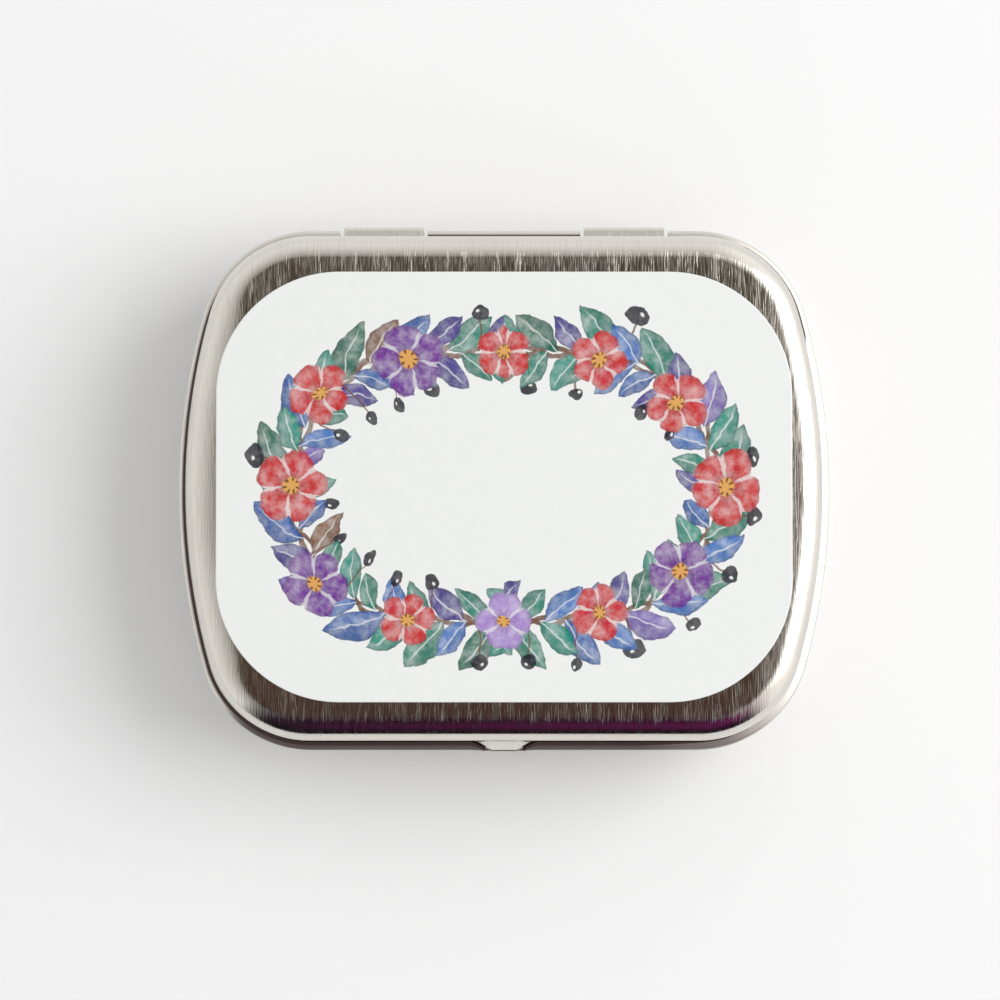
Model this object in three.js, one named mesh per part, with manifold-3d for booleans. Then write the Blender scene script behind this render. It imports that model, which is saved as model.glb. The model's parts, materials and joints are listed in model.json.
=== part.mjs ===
// A small hinged tin of pressed tinplate, with a printed plate stuck on its lid.
// Millimetres, +Z up. The thumb lip faces -Y and the hinge +Y. The origin is under the middle.
import * as THREE from "three";
import { mergeVertices } from "three/addons/utils/BufferGeometryUtils.js";
import Module from "manifold-3d";

const wasm = await Module();
wasm.setup();

// The whole tin
const TIN_LENGTH = 60; // end to end over the hem
const TIN_DEPTH = 47.9; // front to back over the hem
const TIN_HEIGHT = 15; // table to the bare top of the lid
const LID_DEPTH = 6.45; // bare top down to the underside of the hem
const CORNER_RADIUS = 10.4; // plan corners of the hem
const END_RADIUS = 60; // both ends bow outwards, the long sides are straight
const SHEET = 0.3; // tinplate thickness

// The lid
const SHOULDER_RADIUS = 2.15; // outside, from the flat top down to the skirt
const HEM_REACH = 0.9; // how far the folded hem stands out from the skirt
const HEM_BEND = 0.15; // tight side of the bend where the hem leaves the skirt
const HEM_EDGE = 0.05; // tight side of the fold along the hem's outer edge
const HEM_SLOPE = 15; // degrees that the hem's top falls outwards
const HEM_GAP = 0.1; // the hem's free edge to the skirt
const SEAT_GAP = 0.1; // hem to the bead that it closes on
const LID_FIT = 0.3; // skirt to neck, all round
const LIP_PROUD = 0.1; // the thumb lip past the hem
const LIP_TIP = 2.2; // width of the lip where no hem is left
const LIP_WIDTH = 5.5; // width from hem to hem

// The base
const FOOT_RADIUS = 1.8; // outside, from the floor up to the wall
const FOOT_WIDTH = 4; // flat ring that the tin stands on
const FLOOR_RISE = 0.4; // the floor's panel is pressed up out of the way
const BEAD_FILLET = 0.1; // tight side of the bends where the bead leaves the wall
const NECK_CLEARANCE = 0.2; // top of the neck to the start of the lid's shoulder
const SAFE_EDGE = 1.5; // depth of the neck's folded edge
const FOLD_GAP = 0.2; // inside that fold

// The hinge
const PIN_RADIUS = 0.45;
const PIN_FIT = 0.05; // pin to the bead and to the lug round it
const PIN_SEAT = 1.95; // length of pin in the bead at each side of a window
const LUG_WIDTH = 7.4;
const PIN_END_GAP = 0.6; // pin's outer end to the start of the plan corner
const LUG_PROUD = 0.4; // the lug past the hem
const LUG_EDGE = 0.7; // rounding of the rolled lug
const HINGE_GAP = 0.35; // lug to the window and the hem's notch that it moves in

// The printed plate
const PLATE_END_MARGIN = 0.8; // plate to the start of the shoulder, at the ends
const PLATE_SIDE_MARGIN = 1.35; // the same at front and back
const PLATE_CORNER = 11.2;
const PLATE_THICKNESS = 0.5;
const ADHESIVE_THICKNESS = 0.13;
const ADHESIVE_INSET = 0.6; // the sheet stops short of the plate's edge

// How finely round stretches are divided
const CORNER_STEPS = 7;
const END_STEPS = 6;
const BEND_STEPS = 6;
const FOLD_STEPS = 14;
const FLARE_STEPS = 4;
const LIP_STEPS = 4;
const PIN_SIDES = 16;

// Where the sheets run, as distances out from the hem's outline (negative is inwards)
const HALF_SHEET = SHEET / 2;
const SKIRT_OUT = -HEM_REACH - HALF_SHEET;
const WALL_OUT = SKIRT_OUT - SHEET - LID_FIT;
const BORE_RADIUS = PIN_RADIUS + PIN_FIT;
const BEAD_RADIUS = BORE_RADIUS + SHEET;
const HEM_FLOOR = TIN_HEIGHT - LID_DEPTH;
const HEM_TOP = HEM_FLOOR + hemFold(HEM_REACH).currentPoint.y + HALF_SHEET;

// The hinge axis runs along the bead, which comes out as far as the hem
const AXIS_OUT = -BEAD_RADIUS;
const AXIS_Y = TIN_DEPTH / 2 + AXIS_OUT;
const HINGE_HEIGHT = HEM_FLOOR - SEAT_GAP - BEAD_RADIUS;

// Centres of the plan's arcs, and the angle that half of a bowed end takes up
const CORNER_Y = TIN_DEPTH / 2 - CORNER_RADIUS;
const END_X = END_RADIUS - TIN_LENGTH / 2;
const END_ANGLE = Math.asin(CORNER_Y / (END_RADIUS - CORNER_RADIUS));
const CORNER_X = (END_RADIUS - CORNER_RADIUS) * Math.cos(END_ANGLE) - END_X;

// Points of an arc in a sheet's section, as [out, up].
function arcPoints(out, up, radius, fromDegrees, toDegrees, steps) {
  return Array.from({ length: steps + 1 }, (_, i) => {
    const angle = THREE.MathUtils.degToRad(fromDegrees + ((toDegrees - fromDegrees) * i) / steps);
    return [out + radius * Math.cos(angle), up + radius * Math.sin(angle)];
  });
}

// Stations round the hem's outline, anticlockwise, each with its place and its outward direction.
// frontStops are extra places along the front side, from left to right.
function outlineStations(frontStops = []) {
  const quarter = Math.PI / 2;
  const arc = (x, y, radius, from, to, first, last, steps) =>
    Array.from({ length: last - first + 1 }, (_, i) => {
      const angle = from + ((to - from) * (first + i)) / steps;
      const out = new THREE.Vector2(Math.cos(angle), Math.sin(angle));
      return { at: out.clone().multiplyScalar(radius).add(new THREE.Vector2(x, y)), out };
    });
  const corner = (x, y, from, to) => arc(x, y, CORNER_RADIUS, from, to, 0, CORNER_STEPS, CORNER_STEPS);
  const end = (x, middle) =>
    arc(x, 0, END_RADIUS, middle - END_ANGLE, middle + END_ANGLE, 1, END_STEPS - 1, END_STEPS);
  const front = (x) => ({
    at: new THREE.Vector2(x, -TIN_DEPTH / 2),
    out: new THREE.Vector2(0, -1),
    atLip: true,
  });
  return [
    ...end(-END_X, 0),
    ...corner(CORNER_X, CORNER_Y, END_ANGLE, quarter),
    ...corner(-CORNER_X, CORNER_Y, quarter, 2 * quarter - END_ANGLE),
    ...end(END_X, 2 * quarter),
    ...corner(-CORNER_X, -CORNER_Y, 2 * quarter + END_ANGLE, 3 * quarter),
    ...frontStops.map(front),
    ...corner(CORNER_X, -CORNER_Y, 3 * quarter, 4 * quarter - END_ANGLE),
  ];
}

// The section of a sheet that follows a path: along its left skin, then back along its right skin.
function sheetSection(path) {
  const points = path.map(([out, up]) => new THREE.Vector2(out, up));
  const normals = points.slice(1).map((p, i) => {
    const along = p.clone().sub(points[i]).normalize();
    return new THREE.Vector2(-along.y, along.x);
  });
  const offsets = points.map((_, i) => {
    const before = normals[Math.max(i - 1, 0)];
    const after = normals[Math.min(i, normals.length - 1)];
    const mitre = before.clone().add(after).normalize();
    return mitre.multiplyScalar(HALF_SHEET / mitre.dot(before));
  });
  const left = points.map((p, i) => p.clone().add(offsets[i]));
  const right = points.map((p, i) => p.clone().sub(offsets[i]));
  return [...left, ...right.reverse()];
}

// A pressing: the path, swept round the stations, with a flat panel across its middle.
function pressing(stations, pathAt) {
  const rings = stations.map((station) => {
    const { at, out } = station;
    return sheetSection(pathAt(station)).map((p) => [at.x + out.x * p.x, at.y + out.y * p.x, p.y]);
  });
  const across = rings[0].length;
  const last = across - 1;
  const topCentre = rings.length * across;
  const underCentre = topCentre + 1;
  const index = [];
  rings.forEach((_, i) => {
    const here = i * across;
    const next = ((i + 1) % rings.length) * across;
    for (let j = 0; j < last; j++) {
      index.push(here + j, here + j + 1, next + j + 1);
      index.push(here + j, next + j + 1, next + j);
    }
    index.push(topCentre, here, next);
    index.push(underCentre, next + last, here + last);
  });
  const centres = [0, 0, rings[0][0][2], 0, 0, rings[0][last][2]];
  const positions = new Float32Array([...rings.flat(2), ...centres]);
  return new THREE.BufferGeometry()
    .setAttribute("position", new THREE.BufferAttribute(positions, 3))
    .setIndex(index);
}

// A geometry as a solid that can be cut.
function solid(geometry) {
  const bare = geometry.clone();
  bare.deleteAttribute("normal");
  bare.deleteAttribute("uv");
  const merged = mergeVertices(bare);
  const vertProperties = merged.attributes.position.array;
  const triVerts = new Uint32Array(merged.index.array);
  return new wasm.Manifold(new wasm.Mesh({ numProp: 3, vertProperties, triVerts }));
}

// A cut solid as a geometry again.
function geometryOf(manifold) {
  const { vertProperties, triVerts } = manifold.getMesh();
  const geometry = new THREE.BufferGeometry()
    .setAttribute("position", new THREE.BufferAttribute(vertProperties, 3))
    .setIndex(new THREE.BufferAttribute(triVerts, 1));
  geometry.computeVertexNormals();
  return geometry;
}

// A box between two corners, for cutting.
function block(low, high) {
  const size = high.map((h, i) => h - low[i]);
  const middle = high.map((h, i) => (h + low[i]) / 2);
  return solid(new THREE.BoxGeometry(...size).translate(...middle));
}

// A flat rounded rectangle, standing on z = 0.
function roundedPlate(length, depth, radius, thickness) {
  const x = length / 2 - radius;
  const y = depth / 2 - radius;
  const shape = new THREE.Shape()
    .absarc(x, y, radius, 0, Math.PI / 2)
    .absarc(-x, y, radius, Math.PI / 2, Math.PI)
    .absarc(-x, -y, radius, Math.PI, 1.5 * Math.PI)
    .absarc(x, -y, radius, 1.5 * Math.PI, 2 * Math.PI);
  return new THREE.ExtrudeGeometry(shape, {
    depth: thickness,
    bevelEnabled: false,
    curveSegments: CORNER_STEPS,
  });
}

// The whole hem from the skirt's foot: outwards, round its edge and back over itself.
function hemFold(width) {
  const bend = HEM_BEND + HALF_SHEET;
  const edge = HEM_EDGE + HALF_SHEET;
  const slope = THREE.MathUtils.degToRad(HEM_SLOPE);
  const fold = new THREE.Path()
    .absarc(bend, HALF_SHEET + bend, bend, Math.PI, 1.5 * Math.PI)
    .absarc(Math.max(width, bend + edge) - edge, HALF_SHEET + edge, edge, -Math.PI / 2, Math.PI / 2 - slope);
  const { x, y } = fold.currentPoint;
  const freeEdge = HALF_SHEET + HEM_GAP;
  return fold.lineTo(freeEdge, y + (x - freeEdge) * Math.tan(slope));
}

// The hem's section, narrower and cut shorter as it opens, until only its first bend is left.
function hemPath(opened) {
  const bend = HEM_BEND + HALF_SHEET;
  const fold = hemFold(THREE.MathUtils.lerp(HEM_REACH, bend, opened));
  const kept = THREE.MathUtils.lerp(1, (bend * Math.PI) / 2 / fold.getLength(), opened);
  const path = Array.from({ length: FOLD_STEPS + 1 }, (_, i) =>
    fold.getPoint((kept * i) / FOLD_STEPS).toArray(),
  );
  const reach = Math.max(...sheetSection(path).map((p) => p.x));
  return path.map(([out, up]) => [out - reach + LIP_PROUD * opened, up + HEM_FLOOR]);
}

// The lid's section: flat top, shoulder, skirt, then the hem folded outwards.
// Towards the middle of the front the hem opens and the skirt flares, as a lip to lift the lid by.
function lidPath({ at, atLip = false }) {
  const bend = SHOULDER_RADIUS - HALF_SHEET;
  const shoulderOut = SKIRT_OUT - bend;
  const shoulderUp = TIN_HEIGHT - SHOULDER_RADIUS;
  const fromLip = THREE.MathUtils.inverseLerp(LIP_WIDTH / 2, LIP_TIP / 2, Math.abs(at.x));
  const hem = hemPath(atLip ? THREE.MathUtils.clamp(fromLip, 0, 1) : 0);
  const [footOut, footUp] = hem[0];
  const flare = Array.from({ length: FLARE_STEPS - 1 }, (_, i) => {
    const down = (i + 1) / FLARE_STEPS;
    const out = THREE.MathUtils.lerp(SKIRT_OUT, footOut, THREE.MathUtils.smoothstep(down, 0, 1));
    return [out, THREE.MathUtils.lerp(shoulderUp, footUp, down)];
  });
  return [
    [shoulderOut - bend, shoulderUp + bend],
    ...arcPoints(shoulderOut, shoulderUp, bend, 90, 0, BEND_STEPS),
    ...flare,
    ...hem,
  ];
}

// The base's section: raised floor, foot, wall, a bead that the lid closes on, neck and safe edge.
function basePath() {
  const footUp = HALF_SHEET;
  const bend = FOOT_RADIUS - HALF_SHEET;
  const bendOut = WALL_OUT - bend;
  const panelOut = bendOut - FOOT_WIDTH;
  const fillet = BEAD_FILLET + HALF_SHEET;
  const filletOut = WALL_OUT + fillet;
  const bead = BEAD_RADIUS - HALF_SHEET;
  const fold = (SHEET + FOLD_GAP) / 2;
  const foldUp = TIN_HEIGHT - SHOULDER_RADIUS - NECK_CLEARANCE - HALF_SHEET - fold;
  return [
    [panelOut - 2 * FLOOR_RISE, footUp + FLOOR_RISE],
    [panelOut - FLOOR_RISE, footUp + FLOOR_RISE],
    [panelOut, footUp],
    ...arcPoints(bendOut, footUp + bend, bend, -90, 0, BEND_STEPS),
    ...arcPoints(filletOut, HINGE_HEIGHT - bead - fillet, fillet, 180, 90, 2),
    ...arcPoints(AXIS_OUT, HINGE_HEIGHT, bead, -90, 90, BEND_STEPS),
    ...arcPoints(filletOut, HINGE_HEIGHT + bead + fillet, fillet, 270, 180, 2),
    ...arcPoints(WALL_OUT - fold, foldUp, fold, 0, 180, BEND_STEPS),
    [WALL_OUT - 2 * fold, foldUp - SAFE_EDGE],
  ];
}

// The section of a lug: a rolled loop round the pin, hung from a strip in the plane of the skirt.
function lugShape() {
  const half = LUG_PROUD - AXIS_OUT;
  const edge = half - LUG_EDGE;
  const stripLeft = SKIRT_OUT - AXIS_OUT - HALF_SHEET;
  const stripTop = HEM_TOP + HINGE_GAP - HINGE_HEIGHT;
  const shape = new THREE.Shape()
    .moveTo(stripLeft + SHEET, stripTop)
    .lineTo(stripLeft, stripTop)
    .lineTo(stripLeft, half)
    .absarc(-edge, edge, LUG_EDGE, Math.PI / 2, Math.PI)
    .absarc(-edge, -edge, LUG_EDGE, Math.PI, 1.5 * Math.PI)
    .absarc(edge, -edge, LUG_EDGE, 1.5 * Math.PI, 2 * Math.PI)
    .absarc(edge, edge, LUG_EDGE, 0, Math.PI / 2)
    .lineTo(stripLeft + SHEET, half);
  shape.holes.push(new THREE.Path().absarc(0, 0, BORE_RADIUS, 0, 2 * Math.PI, true));
  return shape;
}

// Finishes
const TINPLATE = { color: 0xc9c5bc, roughness: 0.35, metalness: 1 };
const WIRE = { color: 0x9a9a98, roughness: 0.3, metalness: 1 };
const PRINT = { color: 0xeeeeee, roughness: 0.4, metalness: 0 };
const ADHESIVE = { color: 0xe6e2d6, roughness: 0.8, metalness: 0 };

function piece(name, geometry, finish) {
  const mesh = new THREE.Mesh(geometry, new THREE.MeshStandardMaterial(finish));
  mesh.name = name;
  return mesh;
}

// Where each lug stands along the hinge
const windowHalf = LUG_WIDTH / 2 + HINGE_GAP;
const pinHalf = windowHalf + PIN_SEAT;
const lugX = CORNER_X - PIN_END_GAP - pinHalf;
const lugPlaces = { left: -lugX, right: lugX };
const lugReach = Math.SQRT2 * (LUG_PROUD - AXIS_OUT - LUG_EDGE) + LUG_EDGE + HINGE_GAP;

// The lid, with the hem notched for the two lugs
function lidShell() {
  const half = LIP_TIP / 2;
  const slope = (LIP_WIDTH - LIP_TIP) / 2 / LIP_STEPS;
  const rightStops = Array.from({ length: LIP_STEPS + 1 }, (_, i) => half + slope * i);
  const stops = [...rightStops.map((x) => -x).reverse(), ...rightStops];
  let lid = solid(pressing(outlineStations(stops), lidPath));
  for (const x of Object.values(lugPlaces)) {
    const low = [x - windowHalf, TIN_DEPTH / 2 + WALL_OUT, 0];
    const high = [x + windowHalf, TIN_DEPTH / 2 + HEM_REACH, HEM_TOP + HINGE_GAP];
    lid = lid.subtract(block(low, high));
  }
  return geometryOf(lid);
}

// The base, with a window through the bead at each lug
function baseTray() {
  let base = solid(pressing(outlineStations(), basePath));
  for (const x of Object.values(lugPlaces)) {
    const low = [x - windowHalf, AXIS_Y - 2 * lugReach, HINGE_HEIGHT - lugReach];
    const high = [x + windowHalf, AXIS_Y + 2 * lugReach, HINGE_HEIGHT + lugReach];
    base = base.subtract(block(low, high));
  }
  return geometryOf(base);
}

// A lug's section, extruded along the hinge axis and centred on it
function hingeLug() {
  const alongHinge = new THREE.Matrix4().makeBasis(
    new THREE.Vector3(0, 1, 0),
    new THREE.Vector3(0, 0, 1),
    new THREE.Vector3(1, 0, 0),
  );
  return new THREE.ExtrudeGeometry(lugShape(), {
    depth: LUG_WIDTH,
    bevelEnabled: false,
    curveSegments: BEND_STEPS,
  })
    .translate(0, 0, -LUG_WIDTH / 2)
    .applyMatrix4(alongHinge);
}

function hingePin() {
  return new THREE.CylinderGeometry(PIN_RADIUS, PIN_RADIUS, 2 * pinHalf, PIN_SIDES).rotateZ(Math.PI / 2);
}

const tin = new THREE.Group();
tin.add(piece("base_tray", baseTray(), TINPLATE));
tin.add(piece("lid_shell", lidShell(), TINPLATE));

for (const [side, x] of Object.entries(lugPlaces)) {
  const hinge = new THREE.Group();
  hinge.position.set(x, AXIS_Y, HINGE_HEIGHT);
  hinge.add(piece(`hinge_lug_${side}`, hingeLug(), TINPLATE));
  hinge.add(piece(`hinge_pin_${side}`, hingePin(), WIRE));
  tin.add(hinge);
}

const flatInset = HEM_REACH + SHOULDER_RADIUS;
const plateLength = TIN_LENGTH - 2 * (flatInset + PLATE_END_MARGIN);
const plateDepth = TIN_DEPTH - 2 * (flatInset + PLATE_SIDE_MARGIN);
const adhesive = piece(
  "adhesive_sheet",
  roundedPlate(
    plateLength - 2 * ADHESIVE_INSET,
    plateDepth - 2 * ADHESIVE_INSET,
    PLATE_CORNER - ADHESIVE_INSET,
    ADHESIVE_THICKNESS,
  ),
  ADHESIVE,
);
adhesive.position.z = TIN_HEIGHT;
const plate = piece(
  "print_plate",
  roundedPlate(plateLength, plateDepth, PLATE_CORNER, PLATE_THICKNESS),
  PRINT,
);
plate.position.z = TIN_HEIGHT + ADHESIVE_THICKNESS;
tin.add(adhesive, plate);

export default tin;
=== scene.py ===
# %% [markdown]
# # A small hinged tin
#
# The tin is a keepsake case about as long as a thumb. It is a pressed base, a pressed lid, two
# wire hinges and a thin printed plate that is stuck on the lid. The CAD model gives the large
# sizes. This lesson dresses it: each piece is modelled again as the thin rolled sheet that it
# really is, and gets the finish that the real one shows.

# %% Load the frame
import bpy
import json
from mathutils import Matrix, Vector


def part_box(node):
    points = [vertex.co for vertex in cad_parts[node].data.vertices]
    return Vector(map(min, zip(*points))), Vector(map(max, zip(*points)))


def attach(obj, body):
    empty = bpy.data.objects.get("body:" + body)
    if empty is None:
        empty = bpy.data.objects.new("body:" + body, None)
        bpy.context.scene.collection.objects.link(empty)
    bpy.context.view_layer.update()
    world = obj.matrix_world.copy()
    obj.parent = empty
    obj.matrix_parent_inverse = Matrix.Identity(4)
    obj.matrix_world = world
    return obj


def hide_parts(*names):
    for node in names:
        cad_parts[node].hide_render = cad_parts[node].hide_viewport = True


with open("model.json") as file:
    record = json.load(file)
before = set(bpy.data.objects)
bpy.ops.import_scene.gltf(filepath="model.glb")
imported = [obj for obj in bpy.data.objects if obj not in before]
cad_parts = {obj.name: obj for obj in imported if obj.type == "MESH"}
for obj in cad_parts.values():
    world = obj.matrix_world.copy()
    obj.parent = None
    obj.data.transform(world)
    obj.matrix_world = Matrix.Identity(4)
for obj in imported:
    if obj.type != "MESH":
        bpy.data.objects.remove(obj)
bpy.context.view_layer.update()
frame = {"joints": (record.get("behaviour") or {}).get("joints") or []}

# %% [markdown]
# ## Sizes
#
# The large sizes come from the frame, so the dressed tin can't drift away from the solids. The
# thickness of the sheet and the radii of its bends can't be read from a box, so they are named
# here, in millimetres that are turned into metres.

# %% Sizes of the tin
import functools
import json
import math

import bmesh
import bpy
from mathutils import Matrix, Vector

MM = 0.001
SHEET = 0.3 * MM
CORNER_RADIUS = 10.4 * MM
END_RADIUS = 60 * MM
half_sheet = SHEET / 2
base_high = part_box("base_tray")[1]
lid_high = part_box("lid_shell")[1]
hinge_axis = Vector(frame["joints"][0]["pos_m"])
half_length = base_high.x
half_depth = base_high.y
tin_height = lid_high.z
print("tin", 2 * half_length, "by", 2 * half_depth, "by", tin_height)

# %% [markdown]
# ## Camera
#
# The photograph looks almost straight down on the closed lid, from about an arm's length, with
# the thumb lip at the bottom of the picture. A long lens from that distance keeps the sides of
# the tin nearly upright. The camera aims a little in front of the tin's middle, because the tin
# stands slightly above the middle of the picture.

# %% Place the camera
CAMERA_DISTANCE = 0.4
CAMERA_TILT = math.radians(2.5)
PICTURE_WIDTH = 92.2 * MM
SENSOR = 36
AIM = Vector((-0.37 * MM, -0.94 * MM, 9 * MM))

scene = bpy.context.scene
scene.view_settings.view_transform = "Standard"
camera_data = bpy.data.cameras.new("camera")
camera_data.sensor_width = SENSOR
camera_data.lens = SENSOR * CAMERA_DISTANCE / PICTURE_WIDTH
camera = bpy.data.objects.new("camera", camera_data)
camera.location = AIM + CAMERA_DISTANCE * Vector((0, -math.sin(CAMERA_TILT), math.cos(CAMERA_TILT)))
camera.rotation_euler = (CAMERA_TILT, 0, 0)
scene.collection.objects.link(camera)
scene.camera = camera
print("lens", round(camera_data.lens, 1), "mm")

# %% [markdown]
# ## Shader arithmetic
#
# A finish is a formula over the surface. Wiring every node by hand hides that formula, so one
# small class holds an output socket and turns Python's operators into Math nodes. Any other
# node comes from its `add` method.

# %% A socket with arithmetic
class Shade:
    """One output socket of a node tree, which can be used in an expression."""

    def __init__(self, tree, socket=None):
        self.tree = tree
        self.socket = socket

    def add(self, kind, inputs, settings=None, output=0):
        """A new node of a kind: its settings are set first, then the values or links of its sockets."""
        node = self.tree.nodes.new("ShaderNode" + kind)
        for name, value in (settings or {}).items():
            if name == "steps":
                node.color_ramp.interpolation = "CONSTANT"
            if name in ("stops", "steps"):
                set_stops(node.color_ramp, value)
            else:
                setattr(node, name, value)
        for key, value in inputs.items():
            if isinstance(value, Shade):
                self.tree.links.new(value.socket, node.inputs[key])
            else:
                node.inputs[key].default_value = value
        return Shade(self.tree, node.outputs[output])

    def math(self, operation, *others):
        inputs = dict(enumerate((self, *others)))
        return self.add("Math", inputs, {"operation": operation})

    def __add__(self, other):
        return self.math("ADD", other)

    __radd__ = __add__

    def __sub__(self, other):
        return self.math("SUBTRACT", other)

    def __rsub__(self, other):
        return self.add("Math", {0: other, 1: self}, {"operation": "SUBTRACT"})

    def __mul__(self, other):
        return self.math("MULTIPLY", other)

    __rmul__ = __mul__

    def __truediv__(self, other):
        return self.math("DIVIDE", other)

    def __rtruediv__(self, other):
        return self.add("Math", {0: other, 1: self}, {"operation": "DIVIDE"})

    def __abs__(self):
        return self.math("ABSOLUTE")

    def ramp(self, low, high):
        """A share that rises softly from 0 at a low value to 1 at a high one."""
        inputs = {"Value": self, "From Min": low, "From Max": high}
        return self.add("MapRange", inputs, {"interpolation_type": "SMOOTHSTEP"})

    def mix(self, before, after):
        """A colour that goes from one to another as this share goes from 0 to 1."""
        settings = {"data_type": "RGBA"}
        return self.add("Mix", {0: self, 6: before, 7: after}, settings, output=2)

    def part(self, axis):
        return self.add("SeparateXYZ", {0: self}, output=axis)


def set_stops(ramp, stops):
    """Fill a colour ramp with a list of places and colours."""
    for place, colour in stops[2:]:
        ramp.elements.new(place)
    for element, (place, colour) in zip(ramp.elements, stops):
        element.position = place
        element.color = colour


print("shader arithmetic is ready")

# %% Colours and noise
def paint(red, green, blue):
    """A colour as it is read off a screen, from 0 to 255, as Blender's linear colour."""
    def linear(level):
        level = level / 255
        return level / 12.92 if level <= 0.04045 else ((level + 0.055) / 1.055) ** 2.4
    return (linear(red), linear(green), linear(blue), 1)


def new_material(name):
    material = bpy.data.materials.new(name)
    material.use_nodes = True
    tree = material.node_tree
    shader = tree.nodes["Principled BSDF"]
    return material, Shade(tree), shader


def feed(shader, shade, **values):
    """Set sockets of a Principled shader: Base_Color stands for Base Color."""
    for key, value in values.items():
        socket = shader.inputs[key.replace("_", " ")]
        if isinstance(value, Shade):
            shade.tree.links.new(value.socket, socket)
        else:
            socket.default_value = value


def noise_at(x, y, detail=2.0, roughness=0.5):
    """Noise over two lengths that are already divided by the size of its grains."""
    place = x.add("CombineXYZ", {0: x, 1: y})
    inputs = {"Vector": place, "Scale": 1.0, "Detail": detail, "Roughness": roughness}
    return x.add("TexNoise", inputs, {"noise_dimensions": "2D"})


print("colours and noise are ready")

# %% [markdown]
# ## Stage and light
#
# The photograph was taken on a white table by a broad window at the right. A pale floor, a soft
# white world and one broad lamp at the right give the same soft shadow at the left. The lamp is
# large and close, so that the shadow fades within a few centimetres.

# %% Floor and window light
FLOOR_SIZE = 4.0
FLOOR_COLOUR = paint(249, 249, 249)
WINDOW_PLACE = Vector((0.72, 0.16, 0.6))
WINDOW_SIZE = 0.8
WINDOW_POWER = 6.3

floor_bm = bmesh.new()
bmesh.ops.create_grid(floor_bm, x_segments=1, y_segments=1, size=FLOOR_SIZE / 2)
floor_mesh = bpy.data.meshes.new("floor")
floor_bm.to_mesh(floor_mesh)
floor_bm.free()
floor = bpy.data.objects.new("floor", floor_mesh)
scene.collection.objects.link(floor)
floor_finish, floor_shade, floor_shader = new_material("pale table")
feed(floor_shader, floor_shade, Base_Color=FLOOR_COLOUR, Roughness=0.7, Specular_IOR_Level=0.2)
floor_mesh.materials.append(floor_finish)

window_data = bpy.data.lights.new("window", "AREA")
window_data.energy = WINDOW_POWER
window_data.size = WINDOW_SIZE
window = bpy.data.objects.new("window", window_data)
window.location = WINDOW_PLACE
window.rotation_euler = WINDOW_PLACE.to_track_quat("Z", "Y").to_euler()
scene.collection.objects.link(window)
print("floor and window are set")

# %% [markdown]
# Bare metal is only as good as what it mirrors. The real lid mirrors a room: a dim brownish
# ceiling above and a little in front, walls that get brighter towards the horizon and towards the
# window, and something dark and plum-coloured in front, black on its left. So the world is plain
# white to the camera and to matt surfaces, and only reflections look up their colour by the
# direction that they go in.

# %% Colours of the room
DIM_LEAN = math.radians(3)
ROOM = [
    (0.0, (0.09, 0.041, 0.024, 1)),
    (0.06, (0.08, 0.042, 0.029, 1)),
    (0.11, (0.074, 0.058, 0.044, 1)),
    (0.14, (0.085, 0.071, 0.055, 1)),
    (0.165, (0.16, 0.145, 0.125, 1)),
    (0.2, (0.37, 0.355, 0.33, 1)),
    (0.37, (0.6, 0.59, 0.57, 1)),
    (0.58, (0.82, 0.81, 0.8, 1)),
    (0.85, (0.94, 0.935, 0.925, 1)),
]
WINDOW_WALL = (1.35, 1.33, 1.29, 1)
WINDOW_GLOW = 0.6
WINDOW_EDGE = (0.16, 0.42)
PLUM = [
    (0.0, (0.045, 0.014, 0.026, 1)),
    (0.2, (0.055, 0.007, 0.036, 1)),
    (0.5, (0.13, 0.008, 0.086, 1)),
    (0.7, (0.065, 0.004, 0.04, 1)),
    (0.82, (0.014, 0.003, 0.01, 1)),
]
PLUM_SIDES = (-0.62, -0.84)
PLUM_TOP = (0.015, 0.05)
PLUM_BLACK = (0.008, 0.005, 0.009, 1)
BLACK_SHARE = 0.88
BLACK_EDGE = (0.05, -0.05)
print("the room has", len(ROOM) + len(PLUM), "colours")

# %% The room that the metal mirrors
WORLD_LIGHT = 0.62
WORLD_SEEN = 0.95
LEAST_LEVEL = 0.001

world = bpy.data.worlds.new("studio")
world.use_nodes = True
scene.world = world
sky = Shade(world.node_tree)
toward = sky.add("TexCoord", {}, output="Generated")
sideways = toward.part(0)
back = toward.part(1)
level = (sideways * sideways + back * back).math("SQRT").math("MAXIMUM", LEAST_LEVEL)
from_zenith = toward.part(2).math("ARCCOSINE") / (math.pi / 2)
leaning = toward.part(2) * math.cos(DIM_LEAN) - back * math.sin(DIM_LEAN)
from_dim = leaning.math("ARCCOSINE") / (math.pi / 2)
walls = sky.add("ValToRGB", {0: from_dim}, {"stops": ROOM})
walls = (sideways.ramp(*WINDOW_EDGE) * WINDOW_GLOW).mix(walls, WINDOW_WALL)
plum = sky.add("ValToRGB", {0: from_zenith}, {"stops": PLUM})
plum = (sideways.ramp(*BLACK_EDGE) * BLACK_SHARE).mix(plum, PLUM_BLACK)
in_front = (back / level).ramp(*PLUM_SIDES) * from_zenith.ramp(*PLUM_TOP)
mirrored = in_front.mix(walls, plum)
to_camera = sky.add("LightPath", {}, output="Is Camera Ray")
to_metal = sky.add("LightPath", {}, output="Is Glossy Ray")
to_metal = to_metal.math("MAXIMUM", sky.add("LightPath", {}, output="Is Transmission Ray"))
colour = to_metal.mix((1, 1, 1, 1), mirrored)
strength = WORLD_LIGHT + to_camera * (WORLD_SEEN - WORLD_LIGHT) + to_metal * (1 - WORLD_LIGHT)
background = world.node_tree.nodes["Background"]
world.node_tree.links.new(colour.socket, background.inputs["Color"])
world.node_tree.links.new(strength.socket, background.inputs["Strength"])
print("world has", len(world.node_tree.nodes), "nodes")

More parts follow.
